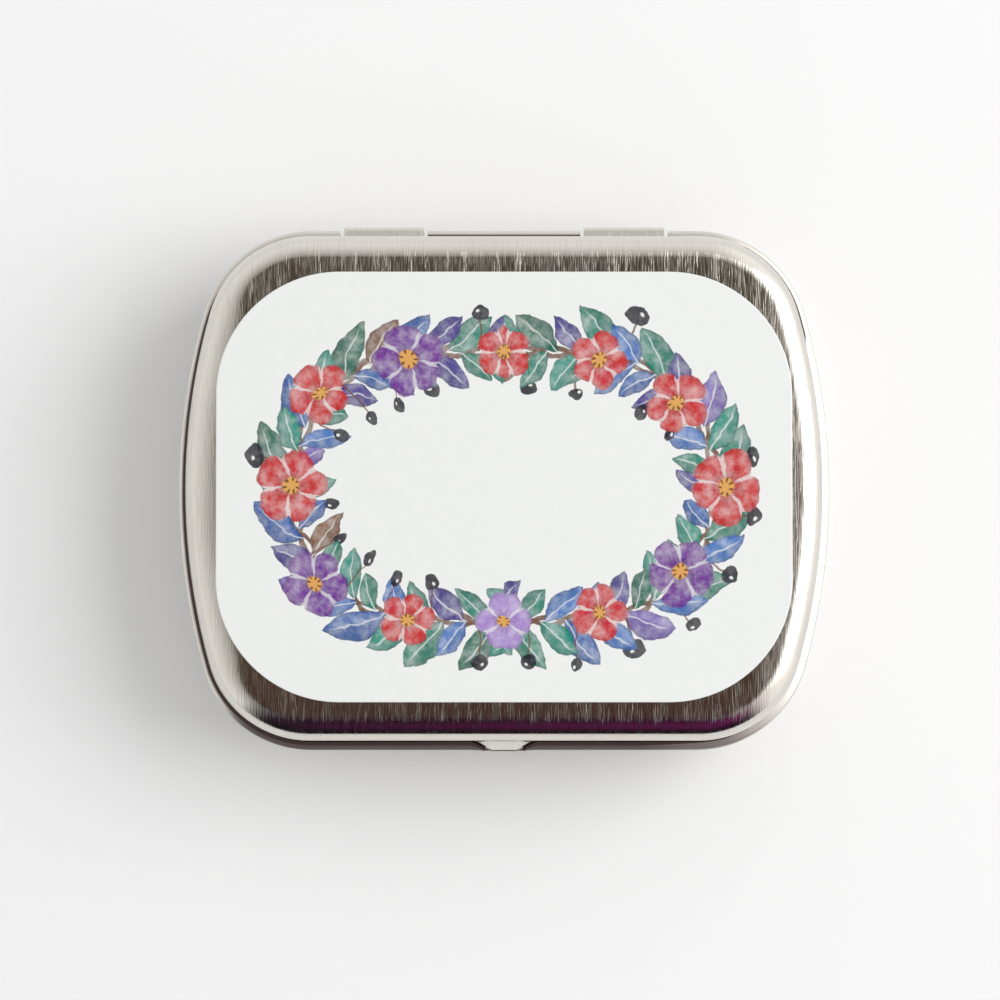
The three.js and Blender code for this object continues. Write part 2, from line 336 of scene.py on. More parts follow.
# %% [markdown]
# ## The plan of the tin
#
# Both pressings follow one outline: straight long sides, bowed ends and round corners. A quarter
# of it is two arcs and a straight, so a single vertex is spun twice and extruded once, and two
# mirrors make the closed loop. Every bend of the sheet then moves that loop along its outward
# direction, which depends only on the arc that a point belongs to.

# %% The outward direction
corner_y = half_depth - CORNER_RADIUS
end_x = END_RADIUS - half_length
end_angle = math.asin(corner_y / (END_RADIUS - CORNER_RADIUS))
corner_x = (END_RADIUS - CORNER_RADIUS) * math.cos(end_angle) - end_x


def outward(place):
    """The direction straight out of the outline at a place near it."""
    x = abs(place.x)
    y = abs(place.y)
    if x <= corner_x:
        direction = Vector((0, 1, 0))
    elif math.atan2(y, x + end_x) <= end_angle:
        direction = Vector((x + end_x, y, 0)).normalized()
    else:
        direction = Vector((x - corner_x, y - corner_y, 0)).normalized()
    direction.x = math.copysign(direction.x, place.x)
    direction.y = math.copysign(direction.y, place.y)
    return direction


print("corners turn about", round(corner_x / MM, 2), "and", round(corner_y / MM, 2), "mm")

# %% The outline
CORNER_STEPS = 20
END_STEPS = 10


def spin_on(bm, vert, centre, angle, steps):
    """Draw an arc on from a loose end, and return the new loose end."""
    made = bmesh.ops.spin(bm, geom=[vert], cent=centre, axis=(0, 0, 1), angle=angle, steps=steps)
    return next(item for item in made["geom_last"] if isinstance(item, bmesh.types.BMVert))


def outline_loop(cuts):
    """The closed outline as edges, with an extra vertex wherever x is one of the cuts."""
    bm = bmesh.new()
    tip = bm.verts.new((half_length, 0, 0))
    tip = spin_on(bm, tip, (-end_x, 0, 0), end_angle, END_STEPS)
    tip = spin_on(bm, tip, (corner_x, corner_y, 0), math.pi / 2 - end_angle, CORNER_STEPS)
    bm.edges.new((tip, bm.verts.new((0, half_depth, 0))))
    for axis in "XY":
        bmesh.ops.mirror(bm, geom=bm.verts[:] + bm.edges[:], axis=axis, merge_dist=SHEET / 10)
    for x in cuts:
        geom = bm.verts[:] + bm.edges[:]
        bmesh.ops.bisect_plane(bm, geom=geom, plane_co=(x, 0, 0), plane_no=(1, 0, 0))
    return bm


trial = outline_loop([])
print("outline of", len(trial.edges), "edges, closed:", all(len(v.link_edges) == 2 for v in trial.verts))
trial.free()

# %% [markdown]
# ## Pressing a sheet
#
# A pressing is one sheet that bends outwards and down, ring after ring. The loop is extruded
# along a section, a list of distances out and heights up, and the middle is closed by one flat
# face. Solidify then gives the sheet its thickness, and a fine bevel takes the sharpness off its
# cut edges. As the sheet is drawn, every vertex also keeps its place on the flat sheet before
# pressing. The brush lines were made on that flat sheet, so they follow the metal over its bends.

# %% Points of a section
def point(out, up, soil=0.0, rubbed=0.0):
    """A point of a section: its distance out, its height, its painted shade, and how rubbed it is."""
    return Vector((out, up, soil, rubbed))


def arc(out, up, radius, start, stop, steps):
    """Points of a round arc in a section, from a start angle to a stop angle in degrees."""
    angles = [math.radians(start + (stop - start) * i / steps) for i in range(steps + 1)]
    return [point(out + radius * math.cos(a), up + radius * math.sin(a)) for a in angles]


print("a quarter turn in two steps:", [tuple(spot.xy) for spot in arc(0, 0, 1, 0, 90, 2)])

# %% Draw a sheet along its section
def start_flat(bm):
    """Note each vertex's place on the flat sheet, before any painted shade or rubbing is noted."""
    bm.verts.layers.float.new("soil")
    bm.verts.layers.float.new("rubbed")
    flat = bm.verts.layers.float_vector.new("flat_sheet")
    for vert in bm.verts:
        vert[flat] = Vector((vert.co.x, vert.co.y, 0))


def draw_sheet(bm, edges, section_at, direction_at):
    """Extrude edges step by step along a section, which may differ from place to place."""
    flat = bm.verts.layers.float_vector["flat_sheet"]
    soil = bm.verts.layers.float["soil"]
    rubbed = bm.verts.layers.float["rubbed"]
    steps = len(section_at(edges[0].verts[0].co))
    for i in range(1, steps):
        made = bmesh.ops.extrude_edge_only(bm, edges=edges)["geom"]
        edges = [item for item in made if isinstance(item, bmesh.types.BMEdge)]
        for vert in [item for item in made if isinstance(item, bmesh.types.BMVert)]:
            section = section_at(vert.co)
            step = section[i] - section[i - 1]
            direction = direction_at(vert.co)
            vert[flat] = vert[flat] + direction * step.xy.length
            vert[soil] = section[i].z
            vert[rubbed] = section[i].w
            vert.co += direction * step.x + Vector((0, 0, step.y))


def pressing(section_at, cuts):
    """A pressed sheet round the outline, with its flat middle."""
    bm = outline_loop(cuts)
    first = section_at(Vector((half_length, 0, 0)))[0]
    for vert in bm.verts:
        vert.co += outward(vert.co) * first.x + Vector((0, 0, first.y))
    start_flat(bm)
    loop = bm.edges[:]
    bmesh.ops.contextual_create(bm, geom=loop)
    draw_sheet(bm, loop, section_at, outward)
    return bm


print("sheets can be drawn")

# %% Give a sheet its thickness
EDGE_ROUND = 0.05 * MM
EDGE_ANGLE = math.radians(50)


def sheet_piece(bm, name):
    """Turn a drawn sheet into a piece with the sheet's thickness and softened edges."""
    bmesh.ops.remove_doubles(bm, verts=bm.verts[:], dist=SHEET / 100)
    bmesh.ops.recalc_face_normals(bm, faces=bm.faces[:])
    for face in bm.faces:
        face.smooth = True
    mesh = bpy.data.meshes.new(name)
    bm.to_mesh(mesh)
    bm.free()
    piece = bpy.data.objects.new(name, mesh)
    scene.collection.objects.link(piece)
    thickness = piece.modifiers.new("thickness", "SOLIDIFY")
    thickness.thickness = SHEET
    thickness.offset = 0
    thickness.use_even_offset = True
    rounding = piece.modifiers.new("rounding", "BEVEL")
    rounding.width = EDGE_ROUND
    rounding.segments = 2
    rounding.limit_method = "ANGLE"
    rounding.angle_limit = EDGE_ANGLE
    rounding.harden_normals = True
    return piece


print("sheets are", round(SHEET / MM, 2), "mm thick")

# %% [markdown]
# ## The lid
#
# The lid's sheet runs flat, turns down over a round shoulder, falls as a short skirt and ends in
# a hem that is folded outwards and back over itself, so that no raw edge can cut. The hem's top
# is almost flat and falls outwards. At the back the hem is notched for two hinge lugs. At the
# front the skirt's foot is pressed outwards for a few millimetres as a thumb lip. It takes up the
# hem's room there: the fold first gets narrower, then it is cut off, and the edge that is left
# stands a little higher than the hem's foot. At the left end the shoulder begins earlier and more
# gently than elsewhere, which leaves hardly any of the flat top beside the plate.

# %% Sizes of the lid
SHOULDER_RADIUS = 2.15 * MM
HEM_REACH = 0.9 * MM
BEAD_RADIUS = 0.8 * MM
SEAT_GAP = 0.1 * MM
HINGE_GAP = 0.35 * MM

skirt_out = -HEM_REACH - half_sheet
hem_floor = hinge_axis.z + BEAD_RADIUS + SEAT_GAP
lug_low, lug_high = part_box("hinge_lug_right")
lug_x = (lug_low.x + lug_high.x) / 2
window_half = (lug_high.x - lug_low.x) / 2 + HINGE_GAP
print("hem stands", round(hem_floor / MM, 2), "mm above the table")

# %% Fold the hem
HEM_BEND = 0.3 * MM
HEM_EDGE = 0.2 * MM
HEM_SLOPE = 15
HEM_GAP = 0.1 * MM
BEND_STEPS = 40
EDGE_STEPS = 60
TRIFLE = SHEET / 1000


def hem_fold(width, lean):
    """The whole fold from the skirt's foot: outwards, round its edge and back over itself."""
    line = arc(HEM_BEND, half_sheet + HEM_BEND, HEM_BEND, 180 + lean, 270, BEND_STEPS)
    line += arc(width - HEM_EDGE, half_sheet + HEM_EDGE, HEM_EDGE, -90, 90 - HEM_SLOPE, EDGE_STEPS)
    back = line[-1].x - half_sheet - HEM_GAP
    return line + [line[-1] + point(-back, back * math.tan(math.radians(HEM_SLOPE)))]


def steps_of(line):
    return [after - before for before, after in zip(line, line[1:])]


def walk(line, length, count):
    """Points at even steps along a line, from its start up to a length."""
    points = []
    passed = 0
    for start, step in zip(line, steps_of(line)):
        while len(points) <= count and length * len(points) / count < passed + step.length:
            share = (length * len(points) / count - passed) / step.length
            points.append(start + step * share)
        passed += step.length
    return points + line[-1:] * (count + 1 - len(points))


def length_within(line, reach):
    """The length of a line up to where the sheet along it would pass a reach."""
    length = 0
    for place, step in zip(line[1:], steps_of(line)):
        rise = abs(step.y) / max(step.length, TRIFLE)
        if place.x + half_sheet * rise > reach + TRIFLE:
            return length
        length += step.length
    return length


print("hem's fold of", len(hem_fold(HEM_REACH, 0)), "points")

# %% Shares
LIP_TIP = 2.2 * MM
LIP_WIDTH = 6.0 * MM


def blend(before, after, share):
    return before + (after - before) * share


def between(start, stop, steps):
    """Even steps after a start, up to a stop."""
    return [blend(start, stop, (i + 1) / steps) for i in range(steps)]


def clamp(share):
    return min(max(share, 0.0), 1.0)


def soft(share):
    """A share, kept from 0 to 1, with a gentle start and stop."""
    share = clamp(share)
    return share * share * (3 - 2 * share)


def lip_share(place):
    """How far the hem is opened at a place: 1 at the lip, 0 along the plain hem."""
    if place.y > 0:
        return 0.0
    return clamp((LIP_WIDTH / 2 - abs(place.x)) / (LIP_WIDTH - LIP_TIP) * 2)


print("lip of", round(LIP_TIP / MM, 2), "mm, which starts", round(LIP_WIDTH / MM, 2), "mm wide")

# %% The hem towards the lip
HEM_STEPS = 30
LIP_PROUD = 0.1 * MM
LIP_LIFT = 0.33 * MM
LIP_ROOM = 0.31 * MM
LIP_LEAN = 36
CREASE_FROM = 0.7
RUBBED_FADE = 0.1 * MM


@functools.lru_cache
def hem_roll(share):
    """The hem's section. Towards the lip it has less room, so its fold narrows and is then cut off.

    Painted shade darkens it towards its free edge, in the crease, and the rest of its top is rubbed
    matt.
    """
    narrowest = HEM_BEND + HEM_EDGE
    reach = blend(HEM_REACH + half_sheet, LIP_ROOM, share)
    width = max(reach - half_sheet, narrowest)
    cut = (width - reach + half_sheet) / (narrowest + half_sheet - LIP_ROOM)
    lean = LIP_LEAN * cut
    bend = HEM_BEND * math.radians(90 - lean)
    whole = hem_fold(width, lean)
    kept = length_within(whole, reach)
    roll = walk(whole, kept, HEM_STEPS)
    for i, place in enumerate(roll):
        done = i / HEM_STEPS
        place.x += LIP_PROUD * share - reach
        place.y += hem_floor + LIP_LIFT * cut
        # Painted shade in the crease, growing towards the fold's free edge, except where the fold is
        # cut.
        place.z = max(0, done - CREASE_FROM) / (1 - CREASE_FROM) * (1 - cut)
        place.w = soft((done * kept - bend * (1 - cut)) / RUBBED_FADE)
    return roll


hem_top = max(place.y for place in hem_roll(0)) + half_sheet
notch_top = hem_top + HINGE_GAP
print("hem's top at", round(hem_top / MM, 2), "mm")

# %% Section of the lid
END_LEAD = 1.5 * MM
LEAD_FROM = 0.6
LEAD_POWER = 3
FLARE_POWER = 1.5
SHOULDER_STEPS = 18
SKIRT_RINGS = 12
NOTCH_RINGS = 6
# Painted shade low on the skirt, and how it fades out beside the lip.
SKIRT_PAINTED_SHADE = 0.4
PAINTED_SHADE_FADE = 2 * MM
PLAIN_RUB = 0.5
FRONT_FROM = 0.5
FRONT_FADE = 0.4

shoulder_up = tin_height - SHOULDER_RADIUS


def pushed_out(up, foot_out, foot_up):
    """How far out the skirt is at a height, where its foot is pushed outwards as a lip."""
    push = foot_out - skirt_out
    height = FLARE_POWER * push / math.tan(math.radians(LIP_LEAN))
    down = 1 - (up - foot_up) / max(height, SHEET / 100)
    return skirt_out + push * clamp(down) ** FLARE_POWER


def shoulder_bend(place):
    """The lid's shoulder, which begins earlier and bends more gently towards the left end."""
    bend = SHOULDER_RADIUS - half_sheet
    towards_end = max((-outward(place).x - LEAD_FROM) / (1 - LEAD_FROM), 0)
    lead = END_LEAD * towards_end ** LEAD_POWER
    shoulder = arc(skirt_out - bend, shoulder_up, bend, 90, 0, SHOULDER_STEPS)
    for spot in shoulder:
        spot.x += (spot.x - skirt_out) * lead / bend
    return shoulder


def lid_section(place):
    """The lid's section at a place: the flat top's edge, the shoulder, the skirt and the hem."""
    share = lip_share(place)
    roll = hem_roll(share)
    foot_up = blend(hem_top, hem_roll(1.0)[0].y, share)
    beside_lip = 1 if place.y > 0 else soft((abs(place.x) - LIP_WIDTH / 2) / PAINTED_SHADE_FADE)
    section = [point(skirt_out - SHOULDER_RADIUS - 2 * END_LEAD, tin_height - half_sheet)]
    section += shoulder_bend(place)
    skirt = between(shoulder_up, notch_top, SKIRT_RINGS)
    skirt += between(notch_top, roll[0].y, NOTCH_RINGS)[:-1]
    # The skirt gets painted shade that grows towards its foot, and fades out beside the lip.
    for up in skirt:
        down = (shoulder_up - up) / (shoulder_up - roll[0].y)
        soil = SKIRT_PAINTED_SHADE * soft(down) * beside_lip
        section.append(point(pushed_out(up, roll[0].x, foot_up), up, soil))
    # At the front the hem counts as fully rubbed, which also lays painted shade over its top.
    front = soft((-outward(place).y - FRONT_FROM) / FRONT_FADE)
    return section + [point(*spot[:3], spot.w * blend(PLAIN_RUB, 1, front)) for spot in roll]


print("lid section of", len(lid_section(Vector((half_length, 0, 0)))), "points")

# %% Press the lid
LIP_COLUMNS = 72


def open_windows(bm, low, high):
    """Cut the two hinge windows out of the back of a pressing, between two heights."""
    def in_window(face):
        middle = face.calc_center_median()
        beside = abs(abs(middle.x) - lug_x) < window_half
        return beside and middle.y > corner_y and low < middle.z < high
    cut = [face for face in bm.faces if in_window(face)]
    bmesh.ops.delete(bm, geom=cut, context="FACES")


window_cuts = [side * (lug_x + end * window_half) for side in (-1, 1) for end in (-1, 1)]
lip_cuts = [LIP_WIDTH * (i / LIP_COLUMNS - 0.5) for i in range(LIP_COLUMNS + 1)]
lid_bm = pressing(lid_section, window_cuts + lip_cuts)
open_windows(lid_bm, 0, notch_top)
lid = sheet_piece(lid_bm, "lid")
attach(lid, "lid")
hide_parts("lid_shell")
print("lid of", len(lid.data.polygons), "faces before thickness")

# %% [markdown]
# ## The base
#
# The base is pressed the other way up. Its floor is raised a little inside a flat foot ring, and
# its wall rises to a bead, which holds the hinge wires and which the lid closes on. Above the
# bead a neck goes up inside the lid and folds inwards, again to hide the raw edge. At each lug a
# window is cut through the bead.

# %% Section of the base
LID_FIT = 0.3 * MM
FOOT_RADIUS = 1.8 * MM
FOOT_WIDTH = 4 * MM
FLOOR_RISE = 0.4 * MM
BEAD_FILLET = 0.1 * MM
SAFE_EDGE = 1.5 * MM
FOLD_GAP = 0.2 * MM
BEAD_WINDOW = 1.76 * MM
FLOOR_STEPS = 6
FOOT_STEPS = 12
FILLET_STEPS = 4
BEAD_STEPS = 14
FOLD_STEPS = 10

wall_out = skirt_out - SHEET - LID_FIT


def floor_and_foot(foot_out):
    """The raised floor's edge, the flat foot ring and the bend up to the wall."""
    bend = FLOOR_RISE / 2
    step_out = foot_out - FOOT_WIDTH
    section = [point(step_out - 2 * FLOOR_RISE, half_sheet + FLOOR_RISE)]
    section += arc(step_out - 2 * bend, half_sheet + bend, bend, 90, 0, FLOOR_STEPS)
    section += arc(step_out, half_sheet + bend, bend, 180, 270, FLOOR_STEPS)[1:]
    return section + arc(foot_out, FOOT_RADIUS, FOOT_RADIUS - half_sheet, -90, 0, FOOT_STEPS)


def base_section(place):
    """The base's section, which is the same at every place."""
    fillet = BEAD_FILLET + half_sheet
    bead = BEAD_RADIUS - half_sheet
    fold = (SHEET + FOLD_GAP) / 2
    fold_up = base_high.z - half_sheet - fold
    axis_up = hinge_axis.z
    section = floor_and_foot(wall_out - FOOT_RADIUS + half_sheet)
    section.append(point(wall_out, axis_up - BEAD_WINDOW))
    section += arc(wall_out + fillet, axis_up - bead - fillet, fillet, 180, 90, FILLET_STEPS)
    section += arc(-BEAD_RADIUS, axis_up, bead, -90, 90, BEAD_STEPS)
    section += arc(wall_out + fillet, axis_up + bead + fillet, fillet, 270, 180, FILLET_STEPS)
    section.append(point(wall_out, axis_up + BEAD_WINDOW))
    section += arc(wall_out - fold, fold_up, fold, 0, 180, FOLD_STEPS)
    section.append(point(wall_out - 2 * fold, fold_up - SAFE_EDGE))
    return section


print("base section of", len(base_section(None)), "points")

# %% Press the base
base_bm = pressing(base_section, window_cuts)
open_windows(base_bm, hinge_axis.z - BEAD_WINDOW, hinge_axis.z + BEAD_WINDOW)
base = sheet_piece(base_bm, "base")
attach(base, "base")
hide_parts("base_tray")
print("base of", len(base.data.polygons), "faces before thickness")

# %% [markdown]
# ## Hinge lugs and pins
#
# A lug is a tab of the lid's own sheet that is bent outwards and rolled round a short wire. Seen
# from above it is a plain, almost level strip, a hair proud of the hem. It is drawn as a sheet
# too: one edge along the hinge, extruded along a line with rounded corners that goes down the
# skirt, out over the wire and round it.

# %% Section of a lug
LUG_TILT = math.radians(12)
LUG_DROP = 0.3 * MM
LUG_BEND = 0.25 * MM
LUG_EDGE = 0.3 * MM
LUG_ROLL = 0.7 * MM
LUG_TUCK = 0.5 * MM
LUG_STEPS = 8

lug_half = (lug_high.x - lug_low.x) / 2
roll_half = lug_high.y - hinge_axis.y - half_sheet
strip_out = half_depth + skirt_out - hinge_axis.y


def rounded_line(corners, steps):
    """A line through points, each rounded by its own radius: (out, up, radius)."""
    line = [point(*corners[0][:2])]
    for before, corner, after in zip(corners, corners[1:], corners[2:]):
        middle = Vector(corner[:2])
        back = (Vector(before[:2]) - middle).normalized()
        ahead = (Vector(after[:2]) - middle).normalized()
        half_angle = back.angle(ahead) / 2
        reach = corner[2] / math.tan(half_angle)
        for i in range(steps + 1):
            share = i / steps
            bend = back * (reach * (1 - share) ** 2) + ahead * (reach * share ** 2)
            line.append(point(*(middle + bend)))
    return line + [point(*corners[-1][:2])]


def lug_section(place):
    """A lug's section, measured from the hinge's axis and the same at every place."""
    top_out = roll_half - LUG_DROP
    top_in = top_out + (roll_half - strip_out) * math.tan(LUG_TILT)
    corners = [
        (strip_out, notch_top - hinge_axis.z, 0),
        (strip_out, top_in, LUG_BEND),
        (roll_half, top_out, LUG_EDGE),
        (roll_half, -roll_half, LUG_ROLL),
        (-roll_half, -roll_half, LUG_ROLL),
        (-roll_half, top_out, LUG_TUCK),
        (strip_out - SHEET, top_out, 0),
    ]
    return rounded_line(corners, LUG_STEPS)


print("lug section of", len(lug_section(None)), "points")

# %% Roll the lugs
def rolled_lug(name, node, middle):
    bm = bmesh.new()
    top = Vector((middle, hinge_axis.y + strip_out, notch_top))
    ends = [bm.verts.new(top + Vector((side * lug_half, 0, 0))) for side in (-1, 1)]
    edge = bm.edges.new(ends)
    start_flat(bm)
    draw_sheet(bm, [edge], lug_section, lambda place: Vector((0, 1, 0)))
    lug = sheet_piece(bm, name)
    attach(lug, "lid")
    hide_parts(node)
    return lug


lug_left = rolled_lug("lug_left", "hinge_lug_left", -lug_x)
lug_right = rolled_lug("lug_right", "hinge_lug_right", lug_x)
print("lugs reach back to", round((hinge_axis.y + roll_half + half_sheet) / MM, 2), "mm")

# %% [markdown]
# The pins are short lengths of drawn wire with their ends dressed round. A cone with two equal
# radii is a cylinder, and a bevel on its two end rings rounds it.

# %% Cut the pins
PIN_SIDES = 40
PIN_ROUND_STEPS = 4


def plain_piece(bm, name):
    """Turn a finished bmesh into a piece."""
    bmesh.ops.recalc_face_normals(bm, faces=bm.faces[:])
    mesh = bpy.data.meshes.new(name)
    bm.to_mesh(mesh)
    bm.free()
    piece = bpy.data.objects.new(name, mesh)
    scene.collection.objects.link(piece)
    return piece


def rims_of(bm):
    """The edges round the flat ends of a shape, which have more than four corners."""
    return [edge for edge in bm.edges if any(len(face.verts) > 4 for face in edge.link_faces)]


def smooth_sides(bm):
    for face in bm.faces:
        face.smooth = len(face.verts) == 4


def round_off(bm, edges, offset, steps):
    bmesh.ops.bevel(
        bm, geom=edges, offset=offset, segments=steps, profile=0.5, affect="EDGES", material=-1,
    )


def hinge_pin(name, node):
    low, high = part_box(node)
    radius = (high.z - low.z) / 2
    along = Matrix.Translation((low + high) / 2) @ Matrix.Rotation(math.pi / 2, 4, "Y")
    bm = bmesh.new()
    bmesh.ops.create_cone(
        bm, cap_ends=True, segments=PIN_SIDES, radius1=radius, radius2=radius,
        depth=high.x - low.x, matrix=along,
    )
    round_off(bm, rims_of(bm), radius / 3, PIN_ROUND_STEPS)
    smooth_sides(bm)
    pin = plain_piece(bm, name)
    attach(pin, "base")
    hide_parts(node)
    return pin


pins = [hinge_pin("pin_left", "hinge_pin_left"), hinge_pin("pin_right", "hinge_pin_right")]
print("pins:", [len(pin.data.polygons) for pin in pins], "faces")

# %% [markdown]
# ## The printed plate
#
# A thin coated plate with round corners lies on the lid, held by a sheet of double-sided
# adhesive that stops short of its edge. Both are a cube, scaled to the node's box, whose four
# upright edges are bevelled into the corners. The rims of both are softened as well.

# %% Cut the plate and its adhesive
PLATE_CORNER = 11.2 * MM
PLATE_STEPS = 28
ADHESIVE_INSET = 0.6 * MM
RIM_ROUND = 0.09 * MM
RIM_STEPS = 3


def rounded_sheet(name, node, corner, rim):
    low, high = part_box(node)
    bm = bmesh.new()
    bmesh.ops.create_cube(bm, size=1)
    bmesh.ops.scale(bm, vec=high - low, verts=bm.verts[:])
    bmesh.ops.translate(bm, vec=(low + high) / 2, verts=bm.verts[:])
    upright = [edge for edge in bm.edges if abs(edge.verts[0].co.z - edge.verts[1].co.z) > rim]
    round_off(bm, upright, corner, PLATE_STEPS)
    smooth_sides(bm)
    round_off(bm, rims_of(bm), rim, RIM_STEPS)
    piece = plain_piece(bm, name)
    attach(piece, "lid")
    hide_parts(node)
    return piece


plate = rounded_sheet("printed_plate", "print_plate", PLATE_CORNER, RIM_ROUND)
adhesive = rounded_sheet("adhesive", "adhesive_sheet", PLATE_CORNER - ADHESIVE_INSET, RIM_ROUND / 3)
print("plate of", len(plate.data.polygons), "faces")

# %% [markdown]
# ## Brushed tinplate
#
# The sheet was brushed along one direction before it was pressed, which leaves lines about a
# tenth of a millimetre wide and some millimetres long. Each line is a shallow groove: it tilts the
# surface sideways a little and is rougher than the metal between. So the same stretched noise,
# read on the flat sheet, drives both the roughness and a faint bump, and the colour stays that
# of tin apart from a slight dulling. Towards the front the lines are polished down.
#
# A dark film of painted shade lies low on the skirt, in the crease of the hem and along the whole
# hem at the front, where it darkens the hem's top as a dark reflection would. It is lifted at the
# right end, where the window's light reaches the crease, and at the left rear corner. Handling has
# rubbed the hem's top matt. The pressing noted on every vertex how much painted shade it gets and
# how rubbed it is, so the finish only has to turn that into a film that is dark, rough and hardly
# metallic.

# %% Brush lines on the flat sheet
LINE_WIDTH = 0.09 * MM
LINE_LENGTH = 2.6 * MM
LINE_DRIFT = 0.5 * MM
STRAND_WIDTH = 0.7 * MM
STRAND_SHIFT = 31.7


def brush_lines(across, along):
    """How scratched the metal is at a place, and the fine lines that the scratches come from."""
    drift = noise_at(across / (2 * STRAND_WIDTH), along / (4 * LINE_LENGTH), detail=1.0)
    drifted = across + (drift - 0.5) * LINE_DRIFT
    lines = noise_at(drifted / LINE_WIDTH, along / LINE_LENGTH, detail=1.0)
    strands = noise_at(across / STRAND_WIDTH + STRAND_SHIFT, along / (2 * LINE_LENGTH), detail=2.0)
    scratch = lines.ramp(0.42, 0.66) * (0.7 + strands.ramp(0.38, 0.62) * 0.3)
    return scratch, lines


print("brush lines are", round(LINE_WIDTH / MM, 2), "mm wide")

# %% Where the painted shade is lifted
RIGHT_SIDE = (12 * MM, 20 * MM)
RIGHT_END = (22 * MM, 25.5 * MM)
RIGHT_REAR = (13 * MM, 16 * MM)
LEFT_SIDE = (-11 * MM, -15 * MM)
LEFT_REAR = (15 * MM, 24 * MM)


def unshaded(across, along):
    """How far the painted shade is lifted at a place on the flat sheet: at the right end it gives way to
    the window's light.
    """
    end = 0.45 - along.ramp(*RIGHT_REAR) * 0.9
    right = across.ramp(*RIGHT_SIDE) * 0.55 + across.ramp(*RIGHT_END) * end
    return right + along.ramp(*LEFT_REAR) * across.ramp(*LEFT_SIDE) * 0.35


def painted_shade_film(soil, rubbed, shade_lifted):
    """The film of painted shade: in the creases, and on the rubbed hem at the front."""
    # On the front hem the film is painted shade, as dark as a reflection of the dark room.
    on_hem = rubbed.ramp(PLAIN_RUB, 1) * (1 - shade_lifted) * 0.85
    return (soil - shade_lifted).ramp(0.15, 0.45).math("MAXIMUM", on_hem)


print("the right end is wiped from", round(RIGHT_SIDE[0] / MM), "mm on")

# %% Finish of the tinplate
TIN_BRIGHT = (0.745, 0.72, 0.672, 1)
TIN_DULL = (0.66, 0.622, 0.566, 1)
# The dark colour of the painted shade.
TIN_PAINTED_SHADE = (0.077, 0.046, 0.047, 1)
CLOUD_SIZE = 9 * MM
GROOVE_DEPTH = 0.0045 * MM
POLISHED_AT = -18 * MM
BRUSHED_AT = 12 * MM
POLISHED_KEEPS = 0.65


def brushed_tinplate():
    material, shade, shader = new_material("brushed tinplate")
    place = shade.add("Attribute", {}, {"attribute_name": "flat_sheet"}, output="Vector")
    soil = shade.add("Attribute", {}, {"attribute_name": "soil"}, output="Fac")
    rubbed = shade.add("Attribute", {}, {"attribute_name": "rubbed"}, output="Fac")
    across = place.part(0)
    along = place.part(1)
    scratch, lines = brush_lines(across, along)
    clouds = noise_at(across / CLOUD_SIZE, along / CLOUD_SIZE, detail=3.0)
    dull = scratch * 0.5 + clouds.ramp(0.35, 0.75) * 0.3
    end = across.ramp(*RIGHT_END)
    hem = rubbed.ramp(0, PLAIN_RUB)
    film = painted_shade_film(soil, rubbed, unshaded(across, along))
    rough = 0.09 + scratch * 0.08 + clouds * 0.04 + hem * 0.14 + film * 0.25 + end * 0.12
    kept = POLISHED_KEEPS + along.ramp(POLISHED_AT, BRUSHED_AT) * (1 - POLISHED_KEEPS)
    height = (scratch + lines * 0.35) * kept * (1 - hem * 0.8)
    grooves = shade.add("Bump", {"Height": height, "Distance": GROOVE_DEPTH, "Strength": 1.0})
    # The film is painted shade: it darkens the tin in the crease, low on the skirt and on the front hem.
    colour = film.mix(dull.mix(TIN_BRIGHT, TIN_DULL), TIN_PAINTED_SHADE)
    feed(shader, shade, Base_Color=colour, Roughness=rough, Metallic=1 - film * 0.8, Normal=grooves)
    return material


tinplate = brushed_tinplate()
for piece in (lid, base, lug_left, lug_right):
    piece.data.materials.append(tinplate)
print("tinplate has", len(tinplate.node_tree.nodes), "nodes")

# %% [markdown]
# ## Drawn wire and adhesive
#
# Drawing a wire through a die scores it along its length, so its noise is stretched along the
# hinge. The adhesive is a thin milky film that only shows as a line under the plate's edge.

# %% Finish of the wire and the adhesive
SCORE_WIDTH = 0.05 * MM
SCORE_RISE = 0.037 * MM
SCORE_LENGTH = 3 * MM
SPECK = 0.3 * MM
WIRE_DULL = (0.42, 0.41, 0.4, 1)
WIRE_BRIGHT = (0.56, 0.55, 0.53, 1)


def drawn_wire():
    material, shade, shader = new_material("drawn wire")
    place = shade.add("TexCoord", {}, output="Object")
    round_wire = place.part(1) / SCORE_WIDTH + place.part(2) / SCORE_RISE
    scores = noise_at(round_wire, place.part(0) / SCORE_LENGTH, detail=2.0)
    colour = scores.ramp(0.35, 0.7).mix(WIRE_DULL, WIRE_BRIGHT)
    feed(shader, shade, Base_Color=colour, Roughness=0.22 + scores * 0.2, Metallic=1.0)
    return material


def milky_film():
    material, shade, shader = new_material("adhesive film")
    place = shade.add("TexCoord", {}, output="Object")
    specks = noise_at(place.part(0) / SPECK, place.part(1) / SPECK, detail=3.0)
    colour = specks.ramp(0.3, 0.7).mix(paint(214, 208, 194), paint(232, 228, 217))
    feed(shader, shade, Base_Color=colour, Roughness=0.6 + specks * 0.2)
    return material


wire = drawn_wire()
film = milky_film()
for pin in pins:
    pin.data.materials.append(wire)
adhesive.data.materials.append(film)
print("wire and film are set")

# %% [markdown]
# ## The print
#
# The plate carries a generic garland in water colours: two twigs grow from the bottom middle,
# round the ends, and meet at the top. Leaves stand on both sides of the twig, with blossoms and
# berries over them. All of it is worked out from a place's distance along the twig and its
# distance to the side of it, in millimetres. Folding the plate at its middle gives both twigs at
# once, and numbers drawn from each motif's index keep the two halves from being mirror images.

# %% The twig's line
HALF_STRAIGHT = 7.0
TURN_RADIUS = 12.2
TWIG_LENGTH = 2 * HALF_STRAIGHT + math.pi * TURN_RADIUS
SWAY = 0.9
SWAYS_PER_MM = 0.45
SWAY_SHIFT = 17.3


